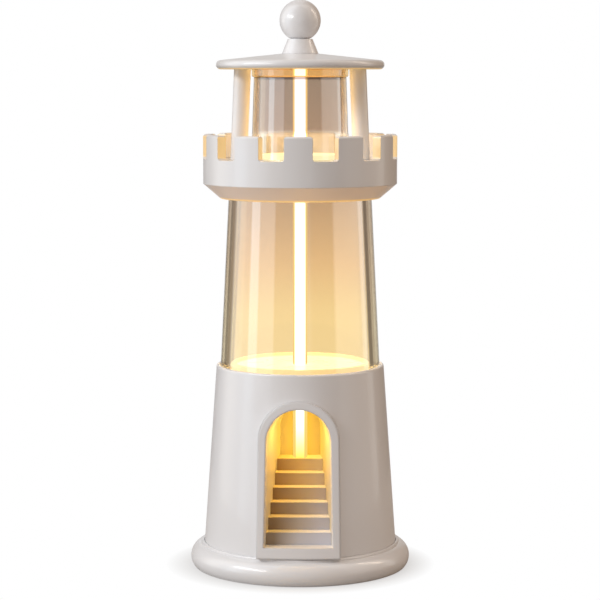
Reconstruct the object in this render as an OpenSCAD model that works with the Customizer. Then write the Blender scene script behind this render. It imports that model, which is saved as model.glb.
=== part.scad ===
// Table lamp in the shape of a lighthouse, in millimetres.
// +Z is up, the origin is on the ground under the middle, the doorway faces -Y.

/* [Foot ring] */
// distance of the middle of the round foot ring outside the foot of the base wall
ring_out = 0.1; // [0:0.1:3]
// radius of the round section of the foot ring
ring_tube_r = 7.2; // [5.5:0.1:9]
// height cut off below so that the ring stands flat
ring_flat = 2.4; // [0.5:0.1:3.5]
// depth of the seat in the ring that the base wall stands in
ring_seat_d = 3; // [1.5:0.1:4]
// width of the ring left inside the base wall
ring_ledge = 2; // [1:0.1:3]
// height of the lip that runs around the foot of the base wall
ring_lip_h = 1.1; // [0.8:0.1:2]
// thickness of that lip
ring_lip_w = 1.4; // [0.9:0.1:2]
// rounding of that lip
ring_lip_round = 0.7; // [0.3:0.1:0.8]
// thickness of the plate that closes the underside
cover_t = 3; // [2:0.1:4]
// height of the plate above the ground
cover_lift = 2; // [1.5:0.1:3]

/* [Base] */
// height of the base wall above the foot ring
base_h = 95.4; // [90:0.1:115]
// outer radius of the base wall where it leaves the foot ring
base_foot_r = 51; // [49:0.1:53]
// outer radius of the base wall at its rim
base_top_r = 44.3; // [42:0.1:47]
// thickness of the base wall
base_wall_t = 3; // [2:0.1:4]
// rounding of the outer edge of the rim
rim_round = 1; // [0.3:0.1:1.6]
// width of the rim left around the tower glass
rim_w = 2.2; // [1.8:0.1:3]
// depth of the groove that the tower glass stands in
glass_seat_d = 5; // [3:0.1:8]
// thickness of the deck plate under the tower glass
deck_t = 3; // [2:0.1:5]
// thickness of the light disc on the deck
disc_t = 0.8; // [0.5:0.1:1.5]
// width of the border around a light disc
disc_margin = 2.6; // [0.6:0.1:3]
// height of that border above the light disc
disc_rim_h = 1.6; // [0.4:0.1:2]
// play around the light disc
disc_fit = 0.15; // [0.1:0.05:0.3]

/* [Doorway] */
// half the width of the doorway where its arch starts
door_half_w = 16.6; // [14:0.1:18]
// height of the base wall left above the arch of the doorway
door_head = 17.6; // [14:0.1:24]
// height from the foot ring to the sill
sill_h = 7.1; // [5:0.1:9]
// lean of the jambs towards the top, in degrees
jamb_draft = 0.75; // [0:0.05:1.5]
// width of the frame around the doorway
frame_w = 4.2; // [2.5:0.1:5]
// height of the frame above the face of the base wall
frame_proud = 2; // [1:0.1:3]
// how much wider the bow of the frame's face is than the bow of the base wall
frame_flat = 100; // [60:5:200]
// gap between the frame and the lip of the foot ring
frame_gap = 0.3; // [0.2:0.1:0.6]

/* [Stairs] */
// half the width of the stair space at its back wall
niche_back_half_w = 10.5; // [9:0.1:13]
// thickness of the walls around the stair space
niche_t = 2; // [1.5:0.1:3]
// height from the landing to the start of the arch
landing_head = 15.9; // [12:0.1:24]
// depth of the floor between the base wall and the first step
entry_d = 4.3; // [2:0.1:8]
// floor of the landing in front of the light tube
landing_front = 2.2; // [1:0.1:4]
// floor of the landing behind the light tube
landing_back = 2.1; // [1:0.1:6]

/* [Tower glass] */
// height of the tower glass that shows
tower_h = 88; // [70:0.1:110]
// narrowing of the tower glass from its foot to the gallery
tower_taper = 4.4; // [0:0.1:8]
// thickness of the tower glass
glass_t = 5; // [3:0.1:6]
// play between a glass and the groove around it
glass_fit = 0.2; // [0.1:0.05:0.4]

/* [Light tube] */
// radius of the light tube
tube_r = 3.8; // [2.5:0.05:4.2]
// play between the light tube and the holes that it passes
tube_fit = 0.3; // [0.2:0.05:0.6]

/* [Gallery] */
// width of the flat underside around the tower glass
lip_w = 4.2; // [3:0.1:7]
// rounding of the lower edge
lip_round = 1.4; // [0.5:0.1:2]
// run of the slope outwards
slope_run = 9.1; // [6:0.1:12]
// height of the slope
slope_h = 7.8; // [5:0.1:10]
// height from the underside to the bottom of the gaps in the parapet
gallery_h = 20.9; // [19:0.1:26]
// thickness of the plate under the gallery and of its slope
under_t = 5; // [4:0.1:6]
// depth of the groove for the top of the tower glass
top_seat_d = 3; // [2:0.1:3.5]
// thickness of the parapet
parapet_t = 5; // [3:0.1:5.6]
// height of the blocks of the parapet
merlon_h = 12.6; // [8:0.1:16]
// angle of one gap in the parapet, in degrees
crenel_angle = 15.2; // [10:0.1:18]
// angle from the middle of one gap to the middle of the next, in degrees
crenel_pitch = 31.6; // [30:0.1:33]
// rounding of the corners of the gaps
crenel_round = 1.6; // [0.5:0.1:2]
// bevel of the top edges of the parapet
merlon_bevel = 0.8; // [0.3:0.1:1.2]
// drop of the gallery floor below the gaps
floor_drop = 0.6; // [0.2:0.1:2]
// thickness of the gallery floor
floor_t = 3; // [2:0.1:4]
// ledge that the gallery floor lies on
floor_ledge = 1.4; // [1:0.1:2]
// play around the gallery floor
floor_fit = 0.15; // [0.1:0.05:0.3]

/* [Lantern] */
// height from the gallery floor to the roof
lantern_h = 48.1; // [36:0.1:60]
// outer radius of the lantern glass at its foot
lantern_foot_r = 25.7; // [22:0.1:28]
// outer radius of the lantern glass at its top
lantern_top_r = 24.3; // [21:0.1:26]
// thickness of the lantern glass
lantern_t = 3; // [2:0.1:4]
// thickness of the light disc in the lantern
lantern_disc_t = 1.2; // [0.8:0.1:2]
// height of the clear ring above the lantern glass
cap_h = 5; // [3:0.1:7]
// width by which the clear ring stands out past the glass
cap_lip = 1; // [0.8:0.1:2.5]
// radius of the two posts
post_r = 4.45; // [3:0.05:5]
// gap between a post and the clear ring
post_top_gap = 0.4; // [0.3:0.1:1]
// gap between the foot of a post and the lantern glass
post_foot_gap = 2.1; // [1.8:0.1:4]

/* [Roof] */
// radius of the roof
roof_r = 44.1; // [42:0.1:50]
// height of the rim of the roof
roof_rim_h = 3.8; // [3.8:0.1:7]
// rounding of the upper edge of the rim
roof_upper_round = 2.4; // [1.5:0.1:2.6]
// rounding of the lower edge of the rim
roof_lower_round = 1; // [0.4:0.1:1.1]
// slope of the roof, in degrees
roof_slope = 6; // [3:0.1:12]
// radius of the neck on the roof
neck_foot_r = 9.6; // [8.2:0.1:11]
// radius of the neck under the ball
neck_top_r = 6.5; // [5.6:0.1:7]
// height of the neck
neck_h = 7.6; // [5:0.1:12]
// radius of the ball
ball_r = 10.8; // [9:0.05:13]
// radius of the flat that the ball rests on
ball_flat_r = 5.6; // [4.5:0.1:6]
// height of the thin gap between the neck and the ball
ball_gap = 0.4; // [0.2:0.1:1]
// depth of the thin gap between the neck and the ball
ball_gap_d = 0.6; // [0.3:0.1:1]

/* [Hidden] */
$fn = 96;
step_count = 6;
// gaps on each side of the parapet, which is a closed wall behind the lantern
side_gaps = 5;
// length that a cut runs past the piece it cuts
past = 1;

// heights, each from the one below it
ring_mid_z = ring_tube_r - ring_flat;
ring_top_z = ring_mid_z + ring_tube_r;
wall_foot_z = ring_top_z - ring_seat_d;
rim_z = ring_top_z + base_h;
glass_foot_z = rim_z - glass_seat_d;
deck_z = glass_foot_z - deck_t;
sill_z = ring_top_z + sill_h;
spring_z = rim_z - door_head - door_half_w;
frame_foot_z = ring_top_z + ring_lip_h + frame_gap;
landing_z = spring_z - landing_head;
under_z = rim_z + tower_h;
glass_top_z = under_z + top_seat_d;
slope_top_z = under_z + slope_h;
crenel_z = under_z + gallery_h;
merlon_top_z = crenel_z + merlon_h;
floor_z = crenel_z - floor_drop;
ledge_z = floor_z - floor_t;
roof_z = floor_z + lantern_h;
cap_z = roof_z - cap_h;
roof_rim_z = roof_z + roof_rim_h;

// base wall and the ring that it stands in
ring_mid_r = base_foot_r + ring_out;
cover_r = base_foot_r - base_wall_t - ring_ledge;
base_lean = atan((base_foot_r - base_top_r) / base_h);
function base_r(z) = base_foot_r - (z - ring_top_z) * tan(base_lean);

// tower glass
tower_foot_r = base_top_r - rim_w;
tower_top_r = tower_foot_r - tower_taper;
function tower_r(z) = tower_foot_r - (z - rim_z) * tower_taper / tower_h;
rim_bore_r = tower_r(glass_foot_z) + glass_fit;
deck_top_r = tower_r(rim_z) - glass_t - glass_fit;
disc_r = deck_top_r - disc_margin;

// stair space: its half width shrinks to the back and, with the draft, upwards
niche_back_y = tube_r + landing_back;
niche_front_y = -base_r(spring_z);
niche_taper = (door_half_w - niche_back_half_w) / (niche_back_y - niche_front_y);
draft = tan(jamb_draft);
function niche_half_w(y, z) =
    door_half_w - (y - niche_front_y) * niche_taper + (spring_z - z) * draft;
riser_h = (landing_z - sill_z) / step_count;
landing_y = -tube_r - landing_front;
first_step_y = -base_r(sill_z) + base_wall_t + entry_d;
tread_d = (landing_y - first_step_y) / (step_count - 1);
function step_y(i) = first_step_y + (i - 1) * tread_d;

// gallery
lip_r = tower_top_r + lip_w;
gallery_r = lip_r + slope_run;
parapet_in_r = gallery_r - parapet_t;
bowl_in_r = parapet_in_r - floor_ledge;
slope_angle = atan(slope_h / slope_run);
// middle of the upper round, which ends just short of level, so that it meets the top in an edge
crenel_arc_z = merlon_top_z - 0.9 * crenel_round;
// reach of half a gap's cut: past the middle of the gap, short of its other side
crenel_reach = 1.4 * parapet_in_r * tan(crenel_angle / 2);

// lantern
cap_r = lantern_top_r + cap_lip;
post_foot_x = lantern_foot_r + post_foot_gap + post_r;
post_top_x = cap_r + post_top_gap + post_r;

// roof
roof_arc_r = roof_r - roof_upper_round;
roof_arc_z = roof_rim_z - roof_upper_round;
neck_z = roof_arc_z + roof_upper_round * cos(roof_slope)
    + (roof_arc_r + roof_upper_round * sin(roof_slope) - neck_foot_r) * tan(roof_slope);
neck_top_z = neck_z + neck_h;
ball_flat_z = neck_top_z + ball_gap;
ball_z = ball_flat_z + sqrt(ball_r * ball_r - ball_flat_r * ball_flat_r);

// colours
white = [0.88, 0.87, 0.85];
glow = [1.0, 0.86, 0.55];
clear = [0.85, 0.78, 0.66, 0.45];

// A hole around the light tube, from one height to another.
module tube_hole(z0, z1) {
    translate([0, 0, z0 - past])
        cylinder(h = z1 - z0 + 2 * past, r = tube_r + tube_fit);
}

// A solid cone that follows the base wall, moved outwards by extra.
module base_cone(extra, z0, z1) {
    translate([0, 0, z0])
        cylinder(h = z1 - z0, r1 = base_r(z0) + extra, r2 = base_r(z1) + extra);
}

// A ring section turned around the lamp.
module turned_ring(r, z, w, h) {
    difference() {
        translate([0, 0, z])
            cylinder(h = h, r = r + w);
        translate([0, 0, z - past])
            cylinder(h = h + 2 * past, r = r);
    }
}

module foot_ring() {
    seat_r = base_r(wall_foot_z);
    lip_top_z = ring_top_z + ring_lip_h;
    color(white)
        rotate_extrude()
            difference() {
                union() {
                    translate([ring_mid_r, ring_mid_z])
                        circle(r = ring_tube_r);
                    translate([ring_mid_r, ring_mid_z])
                        square([seat_r + ring_lip_w - ring_mid_r, lip_top_z - ring_lip_round - ring_mid_z]);
                    translate([ring_mid_r, ring_mid_z])
                        square([seat_r + ring_lip_w - ring_lip_round - ring_mid_r, lip_top_z - ring_mid_z]);
                    translate([seat_r + ring_lip_w - ring_lip_round, lip_top_z - ring_lip_round])
                        circle(r = ring_lip_round);
                }
                translate([0, -ring_tube_r])
                    square([ring_mid_r + 2 * ring_tube_r, ring_tube_r]);
                square([cover_r, ring_top_z + past]);
                translate([0, wall_foot_z])
                    square([seat_r, lip_top_z - wall_foot_z + past]);
            }
}

module bottom_cover() {
    color(white)
        translate([0, 0, cover_lift])
            cylinder(h = cover_t, r = cover_r);
}

// The outline of the doorway, seen from the front, with its edges moved outwards by extra.
module door_outline(extra, foot_z) {
    top_w = door_half_w + extra;
    foot_w = top_w + (spring_z - foot_z) * draft;
    polygon([[-foot_w, foot_z], [foot_w, foot_z], [top_w, spring_z], [-top_w, spring_z]]);
    translate([0, spring_z])
        circle(r = top_w);
}

// The outline of the frame, run through the front of the base wall.
module frame_cut() {
    translate([0, -door_half_w, 0])
        rotate([90, 0, 0])
            linear_extrude(height = base_foot_r)
                door_outline(frame_w, frame_foot_z);
}

module base_wall() {
    arc_z = rim_z - rim_round;
    arc_r = base_r(arc_z) - rim_round / cos(base_lean);
    color(white)
        difference() {
            rotate_extrude() {
                polygon([
                    [0, wall_foot_z],
                    [base_r(wall_foot_z), wall_foot_z],
                    [arc_r + rim_round * cos(base_lean), arc_z + rim_round * sin(base_lean)],
                    [arc_r, rim_z],
                    [0, rim_z]
                ]);
                translate([arc_r, arc_z])
                    circle(r = rim_round);
            }
            base_cone(-base_wall_t, wall_foot_z - past, deck_z + past);
            translate([0, 0, deck_z])
                cylinder(h = rim_z - deck_z + past, r = rim_bore_r);
            frame_cut();
        }
}

// A block between the side walls of the stair space, or one of those walls.
// left and right hold a side's sign and how far the block reaches past the half width there.
module niche_block(left, right, y0, y1, z0, z1) {
    function side(sign, extra, y, z) = sign * (niche_half_w(y, z) + extra);
    polyhedron(
        points = [
            [side(left[0], left[1], y0, z0), y0, z0],
            [side(right[0], right[1], y0, z0), y0, z0],
            [side(right[0], right[1], y1, z0), y1, z0],
            [side(left[0], left[1], y1, z0), y1, z0],
            [side(left[0], left[1], y0, z1), y0, z1],
            [side(right[0], right[1], y0, z1), y0, z1],
            [side(right[0], right[1], y1, z1), y1, z1],
            [side(left[0], left[1], y1, z1), y1, z1]
        ],
        faces = [
            [0, 1, 2, 3], [7, 6, 5, 4], [0, 4, 5, 1], [1, 5, 6, 2], [2, 6, 7, 3], [3, 7, 4, 0]
        ]
    );
}

// A cone along Y that follows the arch of the stair space, with its face moved outwards by extra.
module arch_cone(extra, y0, y1) {
    translate([0, y0, spring_z])
        rotate([-90, 0, 0])
            cylinder(
                h = y1 - y0,
                r1 = niche_half_w(y0, spring_z) + extra,
                r2 = niche_half_w(y1, spring_z) + extra
            );
}

module door_frame() {
    front_y = -base_foot_r - frame_proud - past;
    back_y = -door_half_w;
    color(white)
        difference() {
            intersection() {
                frame_cut();
                difference() {
                    translate([0, frame_flat, 0])
                        base_cone(frame_proud + frame_flat, frame_foot_z - past, rim_z);
                    base_cone(-base_wall_t, frame_foot_z - 2 * past, rim_z + past);
                }
            }
            niche_block([-1, 0], [1, 0], front_y, back_y, sill_z, spring_z);
            arch_cone(0, front_y, back_y);
        }
}

// Keeps only what lies inside the base wall.
module inside_base() {
    intersection() {
        children();
        base_cone(-base_wall_t, ring_top_z, deck_z);
    }
}

module niche_floor() {
    color(white)
        inside_base()
            niche_block([-1, niche_t], [1, niche_t], -base_foot_r, niche_back_y, sill_z - niche_t, sill_z);
}

module niche_left_wall() {
    color(glow)
        inside_base()
            niche_block([-1, niche_t], [-1, 0], -base_foot_r, niche_back_y, sill_z, spring_z);
}

module niche_right_wall() {
    color(glow)
        inside_base()
            niche_block([1, 0], [1, niche_t], -base_foot_r, niche_back_y, sill_z, spring_z);
}

module niche_back_wall() {
    half_w = niche_half_w(niche_back_y, sill_z) + niche_t;
    arch_r = niche_half_w(niche_back_y, spring_z) + niche_t;
    color(glow)
        translate([0, niche_back_y + niche_t, 0])
            rotate([90, 0, 0])
                linear_extrude(height = niche_t) {
                    polygon([
                        [-half_w, sill_z - niche_t],
                        [half_w, sill_z - niche_t],
                        [arch_r, spring_z],
                        [-arch_r, spring_z]
                    ]);
                    translate([0, spring_z])
                        circle(r = arch_r);
                }
}

module niche_vault() {
    color(glow)
        difference() {
            inside_base()
                arch_cone(niche_t, -base_foot_r, niche_back_y);
            arch_cone(0, -base_foot_r - past, niche_back_y + past);
            translate([-base_foot_r, -2 * base_foot_r, sill_z])
                cube([2 * base_foot_r, 4 * base_foot_r, spring_z - sill_z]);
            tube_hole(spring_z, deck_z);
        }
}

// One step: a slab from its riser to the back wall, on top of the step below it.
module stair_step(i) {
    color(glow)
        niche_block(
            [-1, 0], [1, 0], step_y(i), niche_back_y,
            sill_z + (i - 1) * riser_h, sill_z + i * riser_h
        );
}

module base_deck() {
    color(white)
        difference() {
            union() {
                translate([0, 0, deck_z])
                    cylinder(h = deck_t, r = rim_bore_r - glass_fit);
                translate([0, 0, deck_z])
                    cylinder(h = rim_z + disc_rim_h - deck_z, r = deck_top_r);
            }
            translate([0, 0, rim_z - disc_t])
                cylinder(h = disc_t + disc_rim_h + past, r = disc_r + disc_fit);
            tube_hole(deck_z, rim_z);
        }
}

module light_disc() {
    color(glow)
        difference() {
            translate([0, 0, rim_z - disc_t])
                cylinder(h = disc_t, r = disc_r);
            tube_hole(rim_z - disc_t, rim_z);
        }
}

module tower_glass() {
    h = glass_top_z - glass_foot_z;
    color(clear)
        difference() {
            translate([0, 0, glass_foot_z])
                cylinder(h = h, r1 = tower_r(glass_foot_z), r2 = tower_r(glass_top_z));
            translate([0, 0, glass_foot_z - past])
                cylinder(
                    h = h + 2 * past,
                    r1 = tower_r(glass_foot_z - past) - glass_t,
                    r2 = tower_r(glass_top_z + past) - glass_t
                );
        }
}

module light_tube() {
    color([1, 0.97, 0.88])
        translate([0, 0, landing_z])
            cylinder(h = roof_z - landing_z, r = tube_r);
}

// One half of a gap in the parapet, seen along its side: the side itself is upright at 0,
// rounded out below and rounded back above.
module crenel_outline() {
    difference() {
        union() {
            polygon([
                [crenel_round, crenel_z],
                [crenel_reach, crenel_z],
                [crenel_reach, merlon_top_z + past],
                [-crenel_round, merlon_top_z + past],
                [-crenel_round, crenel_arc_z],
                [0, crenel_arc_z],
                [0, crenel_z + crenel_round]
            ]);
            translate([crenel_round, crenel_z + crenel_round])
                circle(r = crenel_round);
        }
        translate([-crenel_round, crenel_arc_z])
            circle(r = crenel_round);
    }
}

// One half of the gap on the +X side; its side lies along the radius of the lamp.
module crenel_half(side) {
    rotate([0, 0, side * crenel_angle / 2])
        mirror([0, side > 0 ? 1 : 0, 0])
            translate([parapet_in_r - past, 0, 0])
                rotate([90, 0, 90])
                    linear_extrude(height = parapet_t + 2 * past)
                        crenel_outline();
}

// The outline of the gallery, with the round of its lower edge and the bevels of the parapet's top.
module gallery_outline() {
    lip_cut = lip_round * tan(slope_angle / 2);
    lip_arc = [lip_r - lip_cut, under_z + lip_round];
    polygon([
        [0, under_z],
        [lip_arc[0], under_z],
        [lip_arc[0] + lip_round * sin(slope_angle), lip_arc[1] - lip_round * cos(slope_angle)],
        [gallery_r, slope_top_z],
        [gallery_r, merlon_top_z - merlon_bevel],
        [gallery_r - merlon_bevel, merlon_top_z],
        [parapet_in_r + merlon_bevel, merlon_top_z],
        [parapet_in_r, merlon_top_z - merlon_bevel],
        [parapet_in_r, ledge_z],
        [0, ledge_z]
    ]);
    translate(lip_arc)
        circle(r = lip_round);
}

// The hollow of the gallery under its floor.
module gallery_hollow() {
    hollow_z = under_z + under_t;
    intersection() {
        translate([0, 0, hollow_z])
            cylinder(h = ledge_z - hollow_z + past, r = bowl_in_r);
        translate([0, 0, hollow_z])
            cylinder(h = 2 * slope_h, r1 = lip_r, r2 = lip_r + 2 * slope_run);
    }
}

module gallery() {
    color(white)
        difference() {
            rotate_extrude()
                gallery_outline();
            gallery_hollow();
            turned_ring(
                tower_r(glass_top_z) - glass_t - glass_fit,
                under_z - past,
                tower_top_r - tower_r(glass_top_z) + glass_t + 2 * glass_fit,
                top_seat_d + past
            );
            tube_hole(under_z, ledge_z);
            for (i = [-side_gaps : side_gaps - 1])
                rotate([0, 0, (i + 0.5) * crenel_pitch - 90])
                    for (side = [-1, 1])
                        crenel_half(side);
        }
}

module gallery_floor() {
    color(white)
        difference() {
            translate([0, 0, ledge_z])
                cylinder(h = floor_t, r = parapet_in_r - floor_fit);
            tube_hole(ledge_z, floor_z);
        }
}

// The light disc in the lantern, with a raised border.
module lantern_disc() {
    disc_out_r = lantern_foot_r - lantern_t - disc_fit;
    color(glow)
        difference() {
            translate([0, 0, floor_z])
                cylinder(h = lantern_disc_t + disc_rim_h, r = disc_out_r);
            translate([0, 0, floor_z + lantern_disc_t])
                cylinder(h = disc_rim_h + past, r = disc_out_r - disc_margin);
            tube_hole(floor_z, floor_z + lantern_disc_t);
        }
}

module lantern_glass() {
    color(clear)
        difference() {
            translate([0, 0, floor_z])
                cylinder(h = cap_z - floor_z, r1 = lantern_foot_r, r2 = lantern_top_r);
            translate([0, 0, floor_z])
                cylinder(h = cap_z - floor_z, r1 = lantern_foot_r - lantern_t, r2 = lantern_top_r - lantern_t);
        }
}

module lantern_cap() {
    color(clear)
        turned_ring(lantern_top_r - lantern_t, cap_z, lantern_t + cap_lip, cap_h);
}

// A leaning post with level ends; side is -1 for the left one and 1 for the right one.
module post(side) {
    lean = atan((post_foot_x - post_top_x) / lantern_h);
    color(white)
        difference() {
            translate([side * post_foot_x, 0, floor_z])
                rotate([0, -side * lean, 0])
                    translate([0, 0, -post_r])
                        cylinder(h = lantern_h + 3 * post_r, r = post_r);
            translate([-roof_r, -roof_r, floor_z - 2 * post_r])
                cube([2 * roof_r, 2 * roof_r, 2 * post_r]);
            translate([-roof_r, -roof_r, roof_z])
                cube([2 * roof_r, 2 * roof_r, 4 * post_r]);
        }
}

module roof() {
    color(white)
        rotate_extrude() {
            polygon([
                [0, roof_z],
                [roof_r - roof_lower_round, roof_z],
                [roof_r, roof_z + roof_lower_round],
                [roof_r, roof_arc_z],
                [
                    roof_arc_r + roof_upper_round * sin(roof_slope),
                    roof_arc_z + roof_upper_round * cos(roof_slope)
                ],
                [neck_foot_r, neck_z],
                [0, neck_z]
            ]);
            translate([roof_r - roof_lower_round, roof_z + roof_lower_round])
                circle(r = roof_lower_round);
            translate([roof_arc_r, roof_arc_z])
                circle(r = roof_upper_round);
        }
}

module finial_neck() {
    color(white) {
        translate([0, 0, neck_z])
            cylinder(h = neck_h, r1 = neck_foot_r, r2 = neck_top_r);
        translate([0, 0, neck_top_z])
            cylinder(h = ball_gap, r = ball_flat_r - ball_gap_d);
    }
}

module finial_ball() {
    color(white)
        difference() {
            translate([0, 0, ball_z])
                sphere(r = ball_r);
            translate([-ball_r, -ball_r, ball_flat_z - 2 * ball_r])
                cube([2 * ball_r, 2 * ball_r, 2 * ball_r]);
        }
}

foot_ring();
bottom_cover();
base_wall();
door_frame();
niche_floor();
niche_left_wall();
niche_right_wall();
niche_back_wall();
niche_vault();
stair_step(1);  // step_1
stair_step(2);  // step_2
stair_step(3);  // step_3
stair_step(4);  // step_4
stair_step(5);  // step_5
stair_step(step_count);  // landing
base_deck();
light_disc();
tower_glass();
light_tube();
gallery();
gallery_floor();
lantern_disc();
lantern_glass();
lantern_cap();
post(-1);  // left_post
post(1);  // right_post
roof();
finial_neck();
finial_ball();
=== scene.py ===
# The look of a lighthouse table lamp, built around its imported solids.
# Metres, +Z up, the doorway faces -Y.
import math

import bmesh
import bpy
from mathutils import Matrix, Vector


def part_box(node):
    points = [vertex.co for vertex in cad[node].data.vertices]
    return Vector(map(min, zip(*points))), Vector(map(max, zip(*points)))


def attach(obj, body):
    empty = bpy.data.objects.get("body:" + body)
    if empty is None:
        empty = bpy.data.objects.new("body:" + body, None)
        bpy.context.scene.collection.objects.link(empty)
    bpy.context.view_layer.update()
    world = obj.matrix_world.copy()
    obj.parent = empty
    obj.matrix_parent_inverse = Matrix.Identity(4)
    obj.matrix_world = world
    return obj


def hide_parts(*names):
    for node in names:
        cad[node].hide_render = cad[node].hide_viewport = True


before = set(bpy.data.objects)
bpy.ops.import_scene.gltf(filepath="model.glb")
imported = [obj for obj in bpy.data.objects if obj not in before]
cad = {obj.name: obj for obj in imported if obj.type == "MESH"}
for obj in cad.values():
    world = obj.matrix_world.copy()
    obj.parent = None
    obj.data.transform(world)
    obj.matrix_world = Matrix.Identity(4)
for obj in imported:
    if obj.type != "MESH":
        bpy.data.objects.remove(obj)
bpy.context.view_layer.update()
scene = bpy.context.scene

# Sizes of the clear pieces, as in the solids.
TOWER_FOOT_R = 0.0421
TOWER_TOP_R = 0.0377
TOWER_WALL = 0.005
LANTERN_FOOT_R = 0.0257
LANTERN_TOP_R = 0.0243
LANTERN_WALL = 0.003
COLLAR_R = 0.0253
COLLAR_WALL = COLLAR_R - LANTERN_TOP_R + LANTERN_WALL

# Heights at which the tower glass leaves the base and meets the gallery.
TOWER_FOOT_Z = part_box("light_disc")[1][2]
TOWER_TOP_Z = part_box("gallery")[0][2]

WHITE = (1.0, 1.0, 1.0)
BLACK = (0.0, 0.0, 0.0)

# The part of a noise's range that most of its values lie in.
NOISE_LOW = 0.3
NOISE_HIGH = 0.7


# Node helpers

def new_material(name):
    """An empty node material, its tree and its output node."""
    material = bpy.data.materials.new(name)
    material.use_nodes = True
    tree = material.node_tree
    tree.nodes.clear()
    output = tree.nodes.new("ShaderNodeOutputMaterial")
    return material, tree, output


def add(tree, kind, **inputs):
    """A node with its unlinked inputs set by name; underscores stand for spaces."""
    node = tree.nodes.new(kind)
    for name, value in inputs.items():
        node.inputs[name.replace("_", " ")].default_value = value
    return node


def rgba(colour):
    return (colour[0], colour[1], colour[2], 1.0)


def fill(tree, socket, colour):
    """Sets a socket to a plain colour, or links another socket to it."""
    if isinstance(colour, tuple):
        socket.default_value = rgba(colour)
    else:
        tree.links.new(colour, socket)


def object_coords(tree):
    return tree.nodes.new("ShaderNodeTexCoord").outputs["Object"]


def surface_normal(tree):
    return tree.nodes.new("ShaderNodeNewGeometry").outputs["Normal"]


def parts_of(tree, vector):
    """The X, Y and Z of a vector, as sockets."""
    split = tree.nodes.new("ShaderNodeSeparateXYZ")
    tree.links.new(vector, split.inputs["Vector"])
    return split.outputs


def from_axis(tree, place):
    """The vector from the lamp's axis to a place that is given by its X, Y and Z sockets."""
    flat = tree.nodes.new("ShaderNodeCombineXYZ")
    tree.links.new(place["X"], flat.inputs["X"])
    tree.links.new(place["Y"], flat.inputs["Y"])
    return flat.outputs["Vector"]


def vector_math(tree, kind, *vectors):
    """The outputs of a vector math node of one or two sockets."""
    node = tree.nodes.new("ShaderNodeVectorMath")
    node.operation = kind
    for place, vector in enumerate(vectors):
        tree.links.new(vector, node.inputs[place])
    return node.outputs


def combined(tree, kind, *values):
    """The value of a math node of one or two sockets."""
    node = tree.nodes.new("ShaderNodeMath")
    node.operation = kind
    for place, value in enumerate(values):
        tree.links.new(value, node.inputs[place])
    return node.outputs["Value"]


def mixed_colour(tree, factor, first, second):
    """A colour between first and second, which are colours or sockets, by a factor socket."""
    mix = tree.nodes.new("ShaderNodeMix")
    mix.data_type = "RGBA"
    tree.links.new(factor, mix.inputs[0])
    fill(tree, mix.inputs[6], first)
    fill(tree, mix.inputs[7], second)
    return mix.outputs[2]


def mixed_shader(tree, factor, first, second):
    """A shader between first and second, by a factor socket."""
    mix = tree.nodes.new("ShaderNodeMixShader")
    tree.links.new(factor, mix.inputs["Fac"])
    tree.links.new(first, mix.inputs[1])
    tree.links.new(second, mix.inputs[2])
    return mix.outputs["Shader"]


def emission(tree, strength, colour):
    """A shader that gives light; its colour is a colour or a socket."""
    shader = add(tree, "ShaderNodeEmission", Strength=strength)
    fill(tree, shader.inputs["Color"], colour)
    return shader.outputs["Emission"]


def scaled(tree, socket, low, high, out_low=0.0, out_high=1.0):
    """A value moved from one range to another, held at its ends."""
    span = tree.nodes.new("ShaderNodeMapRange")
    tree.links.new(socket, span.inputs["Value"])
    span.inputs["From Min"].default_value = low
    span.inputs["From Max"].default_value = high
    span.inputs["To Min"].default_value = out_low
    span.inputs["To Max"].default_value = out_high
    return span.outputs["Result"]


def one_below(tree, socket, low, high):
    """1 where a value is below low, 0 where it is above high, and an even run between them."""
    return scaled(tree, socket, low, high, 1.0, 0.0)


def colour_stops(tree, socket, stops):
    """A colour that runs through stops of (value, colour), by the value of a socket."""
    low, high = stops[0][0], stops[-1][0]
    ramp = tree.nodes.new("ShaderNodeValToRGB")
    tree.links.new(scaled(tree, socket, low, high), ramp.inputs["Fac"])
    elements = ramp.color_ramp.elements
    elements[0].color = rgba(stops[0][1])
    elements[1].color = rgba(stops[-1][1])
    for value, colour in stops[1:-1]:
        elements.new((value - low) / (high - low)).color = rgba(colour)
    return ramp.outputs["Color"]


def noise(tree, coords, scale, detail=2.0):
    node = add(tree, "ShaderNodeTexNoise", Scale=scale, Detail=detail)
    tree.links.new(coords, node.inputs["Vector"])
    return node.outputs["Fac"]


def varied(tree, coords, scale, span, detail=2.0):
    """A value that changes by noise within a span of (low, high)."""
    return scaled(tree, noise(tree, coords, scale, detail), NOISE_LOW, NOISE_HIGH, span[0], span[1])


def seen_straight(tree):
    """1 where the eye sees a surface, directly or through glass."""
    path = tree.nodes.new("ShaderNodeLightPath").outputs
    return combined(tree, "MAXIMUM", path["Is Camera Ray"], path["Is Transmission Ray"])


def looked_at(tree):
    """1 where the eye sees a surface, also mirrored, and 0 for the light it gives."""
    path = tree.nodes.new("ShaderNodeLightPath").outputs
    return combined(tree, "MAXIMUM", seen_straight(tree), path["Is Glossy Ray"])


# Plastics

# The noise of the tone, the wear and the fine skin; the tone uses less of its range.
TONE_SCALE = 28.0
TONE_LOW = 0.35
TONE_HIGH = 0.65
WEAR_SCALE = 90.0
WEAR_DETAIL = 4.0
SKIN_SCALE = 900.0
SKIN_STRENGTH = 0.03
SKIN_DEPTH = 0.0002

PLASTIC_IOR = 1.5
PLASTIC_COAT_ROUGH = 0.06
EDGE_SAMPLES = 4

# The share of a mark of painted light and shade in the plastic's tone; the rest is the soft change.
MARK_SHARE = 0.9

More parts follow.
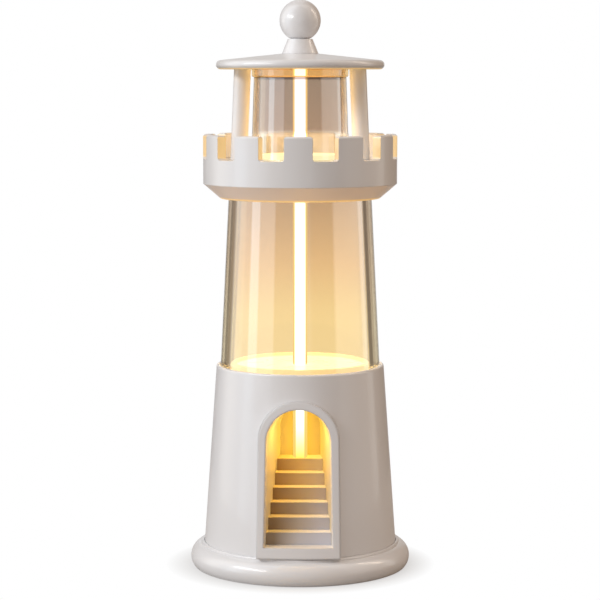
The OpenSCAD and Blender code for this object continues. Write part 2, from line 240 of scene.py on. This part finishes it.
# Light and dark tones, ranges of roughness, coats and radii of softened edges.
WHITE_LIGHT = (0.80, 0.795, 0.80)
WHITE_DARK = (0.79, 0.785, 0.79)
WHITE_ROUGH = (0.28, 0.34)
WHITE_COAT = 0.35
WALL_EDGE = 0.0006
FRAME_ROUGH = (0.3, 0.36)
FRAME_COAT = 0.1
FRAME_EDGE = 0.0016
STAIR_ROUGH = (0.4, 0.5)
STAIR_EDGE = 0.0004
COVER_ROUGH = (0.5, 0.62)
NO_COAT = 0.0

# Painted light: the warm tone painted into the white plastic beside the lamp's light, and the painted
# warm glow that shows in it.
GALLERY_PAINTED_LIGHT = (0.69, 0.60, 0.48)
ROOF_PAINTED_LIGHT = (0.66, 0.55, 0.40)
PAINTED_GLOW = (0.36, 0.21, 0.02)

# Heights over the gallery's foot between which the painted glow of its lower edge ends.
LOWER_EDGE_LOW = 0.0006
LOWER_EDGE_HIGH = 0.0013


def painted_shade_uprights(tree):
    """1 on upright faces, which take the risers' painted shade, and 0 on those that look up."""
    return one_below(tree, parts_of(tree, surface_normal(tree))["Z"], 0.2, 0.7)


def painted_gallery_glow(tree):
    """1 where the lamp's light is painted in as a glow: on the sides of the gallery's gaps and on its
    lower edge.
    """
    place = parts_of(tree, object_coords(tree))
    normal = surface_normal(tree)
    outwards = vector_math(tree, "NORMALIZE", from_axis(tree, place))["Vector"]
    facing = vector_math(tree, "DOT_PRODUCT", outwards, normal)["Value"]
    sideways = one_below(tree, combined(tree, "ABSOLUTE", facing), 0.2, 0.6)
    upright = one_below(tree, combined(tree, "ABSOLUTE", parts_of(tree, normal)["Z"]), 0.3, 0.6)
    gap_sides = combined(tree, "MULTIPLY", sideways, upright)
    lower_edge = one_below(
        tree, place["Z"], TOWER_TOP_Z + LOWER_EDGE_LOW, TOWER_TOP_Z + LOWER_EDGE_HIGH
    )
    return combined(tree, "MAXIMUM", gap_sides, lower_edge)


def painted_roof_glow(tree):
    """1 where the roof looks down, which takes a painted warm tone and a painted glow."""
    return one_below(tree, parts_of(tree, surface_normal(tree))["Z"], -0.9, -0.65)


def moulded_plastic(name, light, dark, rough, coat, edge_round, marked=None, glow=None):
    """Glossy moulded plastic: a soft change of tone, a fine skin and softened edges.

    Where marked gives 1, the plastic has its dark colour, which carries the painted light of the
    gallery and the roof and the painted shade of the steps' risers, and, if there is one, the painted
    glow.
    Light and dark are colours, or lists of (x, colour) stops from left to right, which carry painted
    light and shade across the steps.
    """
    material, tree, output = new_material(name)
    coords = object_coords(tree)
    body = add(
        tree, "ShaderNodeBsdfPrincipled",
        IOR=PLASTIC_IOR, Coat_Weight=coat, Coat_Roughness=PLASTIC_COAT_ROUGH,
    )
    tone = scaled(tree, noise(tree, coords, TONE_SCALE), TONE_LOW, TONE_HIGH)
    if marked:
        mark = marked(tree)
        mark_part = scaled(tree, mark, 0.0, 1.0, 0.0, MARK_SHARE)
        tone_part = scaled(tree, tone, 0.0, 1.0, 0.0, 1.0 - MARK_SHARE)
        tone = combined(tree, "ADD", mark_part, tone_part)
    if isinstance(light, list):
        across = parts_of(tree, coords)["X"]
        light = colour_stops(tree, across, light)
        dark = colour_stops(tree, across, dark)
    tree.links.new(mixed_colour(tree, tone, light, dark), body.inputs["Base Color"])
    if glow:
        tree.links.new(mixed_colour(tree, mark, BLACK, glow), body.inputs["Emission Color"])
        body.inputs["Emission Strength"].default_value = 1.0
    wear = varied(tree, coords, WEAR_SCALE, rough, WEAR_DETAIL)
    tree.links.new(wear, body.inputs["Roughness"])
    edges = add(tree, "ShaderNodeBevel", Radius=edge_round)
    edges.samples = EDGE_SAMPLES
    skin = add(tree, "ShaderNodeBump", Strength=SKIN_STRENGTH, Distance=SKIN_DEPTH)
    tree.links.new(noise(tree, coords, SKIN_SCALE), skin.inputs["Height"])
    tree.links.new(edges.outputs["Normal"], skin.inputs["Normal"])
    tree.links.new(skin.outputs["Normal"], body.inputs["Normal"])
    tree.links.new(body.outputs["BSDF"], output.inputs["Surface"])
    return material


white = moulded_plastic("white_plastic", WHITE_LIGHT, WHITE_DARK, WHITE_ROUGH, WHITE_COAT, WALL_EDGE)
# The gallery and the roof: white plastic with a painted warm tone and a painted glow where the lamp's
# light falls.
gallery_painted_glow = moulded_plastic(
    "gallery_plastic", WHITE_LIGHT, GALLERY_PAINTED_LIGHT, WHITE_ROUGH, WHITE_COAT, WALL_EDGE,
    marked=painted_gallery_glow, glow=PAINTED_GLOW,
)
roof_painted_glow = moulded_plastic(
    "roof_plastic", WHITE_LIGHT, ROOF_PAINTED_LIGHT, WHITE_ROUGH, WHITE_COAT, WALL_EDGE,
    marked=painted_roof_glow, glow=PAINTED_GLOW,
)
frame_white = moulded_plastic(
    "frame_plastic", WHITE_LIGHT, WHITE_DARK, FRAME_ROUGH, FRAME_COAT, FRAME_EDGE
)
# Niche walls and vault: a warm cream that is partly the plastic's own and partly the tube's warm light
# painted in. The back wall: a deeper amber with the tube's light painted in.
stair = moulded_plastic(
    "stair_plastic", (0.72, 0.66, 0.5), (0.7, 0.64, 0.48), STAIR_ROUGH, NO_COAT, STAIR_EDGE
)
niche_back_painted_light = moulded_plastic(
    "niche_back_painted_light", (0.56, 0.475, 0.27), (0.54, 0.455, 0.255), STAIR_ROUGH, NO_COAT, STAIR_EDGE
)
cover = moulded_plastic(
    "cover_plastic", (0.55, 0.54, 0.52), (0.5, 0.49, 0.47), COVER_ROUGH, NO_COAT, WALL_EDGE
)


# Glass

GLASS_IOR = 1.47
GLASS_COAT_IOR = 1.8
GLASS_COAT_ROUGH = 0.02
GLASS_ROUGH = (0.0, 0.03)
STREAK_SCALE = 60.0

# The clear pieces mirror more on their outer faces than on their inner ones.
OUTER_COAT = 1.0
COLLAR_COAT = 0.4

# Tints by height. The tower glass has a warm tint of its own that grows yellower towards its foot,
# where the disc's glow is painted into it. The lantern glass is clearer below the rim of the gallery
# and dark under the collar.
TOWER_TINT = [
    (0.102, (1.0, 0.86, 0.58)),
    (0.134, (1.0, 0.85, 0.56)),
    (0.161, (0.92, 0.73, 0.49)),
    (0.198, (0.74, 0.585, 0.425)),
]
LANTERN_TINT = [
    (0.215, (0.97, 0.918, 0.805)),
    (0.2290, (0.97, 0.918, 0.805)),
    (0.2312, (0.66, 0.53, 0.42)),
    (0.2572, (0.6, 0.5, 0.415)),
    (0.2579, (0.3, 0.22, 0.16)),
    (0.2586, (0.3, 0.22, 0.16)),
]
COLLAR_TINT = [(0.2585, (0.85, 0.62, 0.33)), (0.264, (0.85, 0.6, 0.3))]


def clear_glass(name, tints, coat):
    """Clear glass with a warm tint that changes with height; the coat makes it mirror more."""
    material, tree, output = new_material(name)
    coords = object_coords(tree)
    tint = colour_stops(tree, parts_of(tree, coords)["Z"], tints)
    glass = add(
        tree, "ShaderNodeBsdfPrincipled", IOR=GLASS_IOR, Transmission_Weight=1.0,
        Coat_Weight=coat, Coat_IOR=GLASS_COAT_IOR, Coat_Roughness=GLASS_COAT_ROUGH,
    )
    tree.links.new(tint, glass.inputs["Base Color"])
    streaks = varied(tree, coords, STREAK_SCALE, GLASS_ROUGH)
    tree.links.new(streaks, glass.inputs["Roughness"])
    tree.links.new(glass.outputs["BSDF"], output.inputs["Surface"])
    return material


tower_clear = clear_glass("tower_glass", TOWER_TINT, OUTER_COAT)
tower_inner = clear_glass("tower_glass_inner", TOWER_TINT, NO_COAT)
lantern_clear = clear_glass("lantern_glass", LANTERN_TINT, OUTER_COAT)
lantern_inner = clear_glass("lantern_glass_inner", LANTERN_TINT, NO_COAT)
collar_clear = clear_glass("collar_glass", COLLAR_TINT, COLLAR_COAT)


# Lit pieces

# The tube by height: the white that is seen, its amber sides, and the light that it gives.
TUBE_SEEN_STRENGTH = 2.6
TUBE_SEEN = [
    (0.057, (0.6, 0.36, 0.06)),
    (0.064, (0.6, 0.5, 0.19)),
    (0.078, (0.6, 0.6, 0.52)),
    (0.110, (1.0, 1.0, 0.95)),
    (0.215, (1.0, 1.0, 0.95)),
    (0.225, (1.0, 1.0, 1.2)),
]
TUBE_AMBER = [
    (0.057, (0.95, 0.67, 0.16)),
    (0.130, (1.0, 0.78, 0.35)),
    (0.198, (1.2, 0.95, 0.36)),
    (0.216, (1.6, 1.15, 0.4)),
]
TUBE_GIVEN_STRENGTH = 10.0
TUBE_GIVEN = [
    (0.057, (0.3, 0.19, 0.016)),
    (0.092, (0.3, 0.19, 0.016)),
    (0.107, (1.6, 1.15, 0.5)),
    (0.195, (1.2, 0.8, 0.32)),
    (0.216, (0.62, 0.38, 0.13)),
    (0.263, (0.62, 0.38, 0.13)),
]
# Distances from the tube's middle where its white ends and its amber begins, and how much
# narrower the white is behind the doorway, which ends between two heights.
WHITE_END = 0.0026
AMBER_START = 0.0030
DOOR_NARROWING = 0.0006
DOOR_NARROW_Z = 0.085
DOOR_WIDE_Z = 0.100

# The milky discs: their plastic, the light that they give, and how they look where glass mirrors them.
DISC_COLOUR = (0.5, 0.48, 0.36)
DISC_ROUGH = (0.25, 0.35)
DISC_GRAIN = 120.0
DISC_MIDDLE_R = 0.012
DISC_RIM_R = 0.036
DISC_GIVEN_STRENGTH = 7.0
DISC_MIRRORED = (0.8, 0.65, 0.4)


def light_tube_material():
    """The lit tube: white with amber sides, yellower and with wider sides at its foot.

    The light that it gives is warm.
    """
    material, tree, output = new_material("lit_tube")
    place = parts_of(tree, object_coords(tree))
    height = place["Z"]
    seen = emission(tree, TUBE_SEEN_STRENGTH, colour_stops(tree, height, TUBE_SEEN))
    amber = emission(tree, 1.0, colour_stops(tree, height, TUBE_AMBER))
    given = emission(tree, TUBE_GIVEN_STRENGTH, colour_stops(tree, height, TUBE_GIVEN))
    narrowing = scaled(tree, height, DOOR_NARROW_Z, DOOR_WIDE_Z, DOOR_NARROWING, 0.0)
    from_middle = combined(tree, "ADD", combined(tree, "ABSOLUTE", place["X"]), narrowing)
    sides = scaled(tree, from_middle, WHITE_END, AMBER_START)
    shown = mixed_shader(tree, sides, seen, amber)
    surface = mixed_shader(tree, looked_at(tree), given, shown)
    tree.links.new(surface, output.inputs["Surface"])
    return material


def light_disc_material(name, middle, rim, upwards):
    """Milky disc lit from below, brighter towards its rim; upwards is the light that it gives."""
    material, tree, output = new_material(name)
    coords = object_coords(tree)
    out_from_axis = vector_math(tree, "LENGTH", from_axis(tree, parts_of(tree, coords)))["Value"]
    edge = scaled(tree, out_from_axis, DISC_MIDDLE_R, DISC_RIM_R)
    body = add(tree, "ShaderNodeBsdfPrincipled", Base_Color=rgba(DISC_COLOUR), Emission_Strength=1.0)
    tree.links.new(varied(tree, coords, DISC_GRAIN, DISC_ROUGH), body.inputs["Roughness"])
    tree.links.new(mixed_colour(tree, edge, middle, rim), body.inputs["Emission Color"])
    given = emission(tree, DISC_GIVEN_STRENGTH, upwards)
    surface = mixed_shader(tree, looked_at(tree), given, body.outputs["BSDF"])
    bounces = tree.nodes.new("ShaderNodeLightPath").outputs["Glossy Depth"]
    is_mirrored = scaled(tree, bounces, 0.0, 1.0)
    surface = mixed_shader(tree, is_mirrored, surface, emission(tree, 1.0, DISC_MIRRORED))
    tree.links.new(surface, output.inputs["Surface"])
    return material


lit_tube = light_tube_material()
tower_milky = light_disc_material(
    "tower_disc", middle=(0.7, 0.85, 0.75), rim=(0.8, 0.95, 0.95), upwards=(1.0, 0.45, 0.08)
)
# The base deck is white plastic; its warm glow is painted light.
deck_painted_glow = light_disc_material(
    "deck_ring", middle=(0.75, 0.6, 0.35), rim=(0.75, 0.62, 0.4), upwards=(0.1, 0.05, 0.01)
)
lantern_milky = light_disc_material(
    "lantern_disc", middle=(0.6, 0.6, 0.4), rim=(0.8, 0.85, 0.56), upwards=(0.4, 0.24, 0.09)
)


# Which solid has which finish; those without a row are white

FINISH = {
    "light_tube": lit_tube,
    "light_disc": tower_milky,
    "base_deck": deck_painted_glow,
    "lantern_disc": lantern_milky,
    "bottom_cover": cover,
    "door_frame": frame_white,
    "gallery": gallery_painted_glow,
    "roof": roof_painted_glow,
    "niche_left_wall": stair,
    "niche_right_wall": stair,
    "niche_vault": stair,
    "niche_back_wall": niche_back_painted_light,
    "tower_glass": tower_clear,
    "lantern_glass": lantern_clear,
    "lantern_cap": lantern_clear,
}

# Painted light and shade on the steps, from left to right: their treads, with warm light painted on
# the left and pale light on the right, and their risers, darker with painted shade that deepens to the
# left, at the foot and the top of the stairs.
TREAD_PAINTED_LIGHT = [(-0.013, (0.82, 0.68, 0.36)), (0.011, (0.88, 0.90, 0.95))]
LOW_RISER_PAINTED_SHADE = [(-0.013, (0.29, 0.21, 0.14)), (0.0, (0.54, 0.52, 0.53)), (0.011, (0.58, 0.57, 0.62))]
HIGH_RISER_PAINTED_SHADE = [(-0.013, (0.19, 0.10, 0.03)), (0.0, (0.36, 0.28, 0.18)), (0.011, (0.42, 0.385, 0.40))]
# How far each step is from the painted shade at the foot to the darker, browner painted shade at the
# top.
STEP_PAINTED_SHADE_SHARE = {
    "step_1": 0.0,
    "step_2": 0.5,
    "step_3": 0.8,
    "step_4": 1.0,
    "step_5": 1.0,
    "landing": 1.0,
}
# Each step's plastic: painted light on the treads and painted shade on the risers.
for name, share in STEP_PAINTED_SHADE_SHARE.items():
    painted_riser_shade = [
        (x, tuple(Vector(low).lerp(Vector(high), share)))
        for (x, low), (_, high) in zip(LOW_RISER_PAINTED_SHADE, HIGH_RISER_PAINTED_SHADE)
    ]
    FINISH[name] = moulded_plastic(
        name + "_plastic", TREAD_PAINTED_LIGHT, painted_riser_shade, STAIR_ROUGH, NO_COAT, STAIR_EDGE, marked=painted_shade_uprights
    )

for name, obj in cad.items():
    obj.data.materials.clear()
    obj.data.materials.append(FINISH.get(name, white))


# Clear pieces, turned finely so that what is seen through them bends smoothly

TURN_STEPS = 192
SHARP_ANGLE = math.radians(35)
# Bevels on the edges of the two sleeves and of the collar.
SLEEVE_EASE = 0.0003
COLLAR_EASE = 0.0006
# The step of an outline that makes the outer side.
OUTER_SIDE = 3


def turned(name, outline, outer, inner):
    """A closed ring turned around Z from an outline of (radius, height) points.

    It casts no shadow and scattered light passes it over, so that the lamp's light goes through it.
    """
    shape = bmesh.new()
    rings = []
    for i in range(TURN_STEPS):
        angle = 2 * math.pi * i / TURN_STEPS
        ring = [
            shape.verts.new((r * math.cos(angle), r * math.sin(angle), z))
            for r, z in outline
        ]
        rings.append(ring)
    count = len(outline)
    for i, ring in enumerate(rings):
        after = rings[(i + 1) % TURN_STEPS]
        for k in range(count):
            following = (k + 1) % count
            face = shape.faces.new((ring[k], after[k], after[following], ring[following]))
            face.material_index = 0 if k == OUTER_SIDE else 1
    bmesh.ops.recalc_face_normals(shape, faces=shape.faces)
    mesh = bpy.data.meshes.new(name)
    shape.to_mesh(mesh)
    shape.free()
    mesh.materials.append(outer)
    mesh.materials.append(inner)
    mesh.shade_smooth()
    mesh.set_sharp_from_angle(angle=SHARP_ANGLE)
    piece = bpy.data.objects.new(name, mesh)
    piece.visible_shadow = False
    piece.visible_diffuse = False
    scene.collection.objects.link(piece)
    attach(piece, "root")
    return piece


def tower_r(z):
    """The tower glass's outer radius at a height."""
    share = (z - TOWER_FOOT_Z) / (TOWER_TOP_Z - TOWER_FOOT_Z)
    return TOWER_FOOT_R + (TOWER_TOP_R - TOWER_FOOT_R) * share


def glass_outline(foot, top, wall, ease):
    """The outline of a tapered sleeve with small bevels on its edges."""
    (foot_r, foot_z), (top_r, top_z) = foot, top
    return [
        (foot_r - wall, foot_z + ease), (foot_r - wall + ease, foot_z),
        (foot_r - ease, foot_z), (foot_r, foot_z + ease),
        (top_r, top_z - ease), (top_r - ease, top_z),
        (top_r - wall + ease, top_z), (top_r - wall, top_z - ease),
    ]


low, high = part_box("tower_glass")
sleeve = turned(
    "tower_sleeve",
    glass_outline((tower_r(low[2]), low[2]), (tower_r(high[2]), high[2]), TOWER_WALL, SLEEVE_EASE),
    tower_clear, tower_inner,
)
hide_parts("tower_glass")

low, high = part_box("lantern_glass")
chimney = turned(
    "lantern_sleeve",
    glass_outline((LANTERN_FOOT_R, low[2]), (LANTERN_TOP_R, high[2]), LANTERN_WALL, SLEEVE_EASE),
    lantern_clear, lantern_inner,
)
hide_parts("lantern_glass")

low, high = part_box("lantern_cap")
collar = turned(
    "lantern_collar",
    glass_outline((COLLAR_R, low[2]), (COLLAR_R, high[2]), COLLAR_WALL, COLLAR_EASE),
    collar_clear, collar_clear,
)
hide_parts("lantern_cap")


# Camera: a little right of the doorway, looking slightly down

CAMERA_PLACE = (0.02, -1.106, 0.2582)
CAMERA_DOWN = 6.03
CAMERA_LEFT = 1.04
camera_data = bpy.data.cameras.new("camera")
camera_data.sensor_width = 36.0
camera_data.lens = 126.0
camera_data.clip_start = 0.01
camera = bpy.data.objects.new("camera", camera_data)
camera.location = CAMERA_PLACE
camera.rotation_euler = (math.radians(90.0 - CAMERA_DOWN), 0.0, math.radians(CAMERA_LEFT))
scene.collection.objects.link(camera)
scene.camera = camera


# Lights

LAMP_MIDDLE = Vector((0.0, 0.0, 0.15))


def area_light(name, size, colour, watts):
    data = bpy.data.lights.new(name, "AREA")
    data.shape = "RECTANGLE"
    data.size, data.size_y = size
    data.color = colour
    data.energy = watts
    light = bpy.data.objects.new(name, data)
    scene.collection.objects.link(light)
    return light


def aim(light, around, rise, distance):
    """Turns a light to the lamp; around is its angle from the camera's side, negative to the left."""
    turn = math.radians(around)
    tilt = math.radians(rise)
    away = Vector((math.sin(turn) * math.cos(tilt), -math.cos(turn) * math.cos(tilt), math.sin(tilt)))
    light.location = LAMP_MIDDLE + away * distance
    light.rotation_euler = (-away).to_track_quat("-Z", "Y").to_euler()


key_left = area_light("key_left", (0.66, 0.17), WHITE, 4.2)
aim(key_left, around=-58.0, rise=27.0, distance=1.0)
rim_right = area_light("rim_right", (0.12, 0.5), (1.0, 0.82, 0.64), 1.2)
aim(rim_right, around=100.0, rise=34.0, distance=0.85)

# A small warm light under the crown of the vault, turned down to the stairs.
vault_light = area_light("vault_light", (0.008, 0.008), (1.0, 0.58, 0.12), 0.014)
vault_light.location = (0.0, -0.029, 0.085)


# The floor is a round sheet, lit and shaded near the lamp and fading to white away from it

FLOOR_R = 0.35
FLOOR_STEPS = 64
FLOOR_PAINT = (0.46, 0.44, 0.42)
# The share of white under the lamp, which grows to 1 between two radii.
FLOOR_WHITE = 0.6
FADE_START_R = 0.057
FADE_END_R = 0.072

floor_turns = [2 * math.pi * i / FLOOR_STEPS for i in range(FLOOR_STEPS)]
floor_points = [(FLOOR_R * math.cos(turn), FLOOR_R * math.sin(turn), 0.0) for turn in floor_turns]
floor_mesh = bpy.data.meshes.new("floor")
floor_mesh.from_pydata(floor_points, [], [tuple(range(FLOOR_STEPS))])
material, tree, output = new_material("floor")
reach = vector_math(tree, "LENGTH", object_coords(tree))["Value"]
fade = scaled(tree, reach, FADE_START_R, FADE_END_R, FLOOR_WHITE, 1.0)
paint = add(tree, "ShaderNodeBsdfDiffuse", Color=rgba(FLOOR_PAINT))
white_share = combined(tree, "MULTIPLY", fade, seen_straight(tree))
surface = mixed_shader(tree, white_share, paint.outputs["BSDF"], emission(tree, 1.0, WHITE))
tree.links.new(surface, output.inputs["Surface"])
floor_mesh.materials.append(material)
floor = bpy.data.objects.new("floor", floor_mesh)
scene.collection.objects.link(floor)


# World: white to look at, also straight behind the glass

# The soft light on the lamp, from left to right: warmer from the right, and weaker from the ground.
SOFT_FROM_GROUND = 0.14
SOFT_FROM_ABOVE = 0.56
SOFT_LIGHT = [
    (-1.0, (1.45, 1.45, 1.48)),
    (0.0, (1.18, 1.12, 1.09)),
    (0.4, (1.03, 0.85, 0.72)),
    (0.9, (0.55, 0.32, 0.17)),
]

# What shows through the glass by angle, from 0 at the camera's side: white, with flags at the rims.
FLAG = (0.2, 0.17, 0.15)
DIM = (0.42, 0.37, 0.33)
PALE = (0.55, 0.5, 0.46)
BEHIND_GLASS = [
    (-180.0, WHITE), (-160.0, WHITE), (-156.0, FLAG), (-148.0, FLAG), (-145.0, DIM), (-136.0, DIM),
    (-130.0, WHITE), (131.0, WHITE), (136.0, FLAG), (146.0, FLAG), (149.0, PALE), (156.0, PALE),
    (160.0, WHITE), (180.0, WHITE),
]

# What glass and gloss mirror by angle: pale panels on both sides and darker walls between them.
# It fades a little towards the ground.
MIRRORED_LOW = 3.75
MIRRORED_HIGH = 5.25
GREY = (0.11, 0.107, 0.105)
WALL = (0.05, 0.041, 0.034)
SIDE = (0.2, 0.185, 0.165)
GLEAM = (0.4, 0.39, 0.37)
PANEL = (0.29, 0.3, 0.32)
STRIP = (0.54, 0.6, 0.66)
SHADE = (0.065, 0.052, 0.042)
WARM = (0.26, 0.24, 0.22)
MIRRORED = [
    (-180.0, GREY), (-165.0, GREY), (-160.0, WALL), (-128.0, WALL), (-120.0, SIDE),
    (-112.0, GLEAM), (-96.0, GLEAM), (-92.0, PANEL), (-82.0, PANEL), (-80.0, STRIP), (-66.0, STRIP),
    (-64.0, PANEL), (-40.0, PANEL), (-37.0, GREY), (14.0, GREY), (20.0, SHADE), (52.0, SHADE),
    (57.0, WARM), (104.0, WARM), (107.0, GLEAM), (116.0, GLEAM), (120.0, WALL), (160.0, WALL),
    (165.0, GREY), (180.0, GREY),
]

world = bpy.data.worlds.new("studio")
scene.world = world
# The world isn't sampled as a lamp, so that more samples go to the lamp's own light.
world.cycles.sampling_method = "NONE"
world.use_nodes = True
tree = world.node_tree
tree.nodes.clear()
output = tree.nodes.new("ShaderNodeOutputWorld")


def surroundings(colour, strength):
    """A background; its colour and its strength are plain or sockets."""
    shader = tree.nodes.new("ShaderNodeBackground")
    fill(tree, shader.inputs["Color"], colour)
    if isinstance(strength, float):
        shader.inputs["Strength"].default_value = strength
    else:
        tree.links.new(strength, shader.inputs["Strength"])
    return shader.outputs["Background"]


way = parts_of(tree, tree.nodes.new("ShaderNodeTexCoord").outputs["Generated"])
towards_camera = scaled(tree, way["Y"], -1.0, 1.0, 1.0, -1.0)
angle = combined(tree, "ARCTAN2", way["X"], towards_camera)
around = scaled(tree, angle, -math.pi, math.pi, -180.0, 180.0)
soft_strength = scaled(tree, way["Z"], -0.4, 0.3, SOFT_FROM_GROUND, SOFT_FROM_ABOVE)
soft = surroundings(colour_stops(tree, way["X"], SOFT_LIGHT), soft_strength)
mirrored_strength = scaled(tree, way["Z"], -0.06, 0.0, MIRRORED_LOW, MIRRORED_HIGH)
mirrored = surroundings(colour_stops(tree, around, MIRRORED), mirrored_strength)
behind_glass = surroundings(colour_stops(tree, around, BEHIND_GLASS), 1.0)
plain = surroundings(WHITE, 1.0)
path = tree.nodes.new("ShaderNodeLightPath").outputs
surface = mixed_shader(tree, path["Is Glossy Ray"], soft, mirrored)
surface = mixed_shader(tree, path["Is Transmission Ray"], surface, behind_glass)
surface = mixed_shader(tree, path["Is Camera Ray"], surface, plain)
tree.links.new(surface, output.inputs["Surface"])

scene.view_settings.view_transform = "Standard"
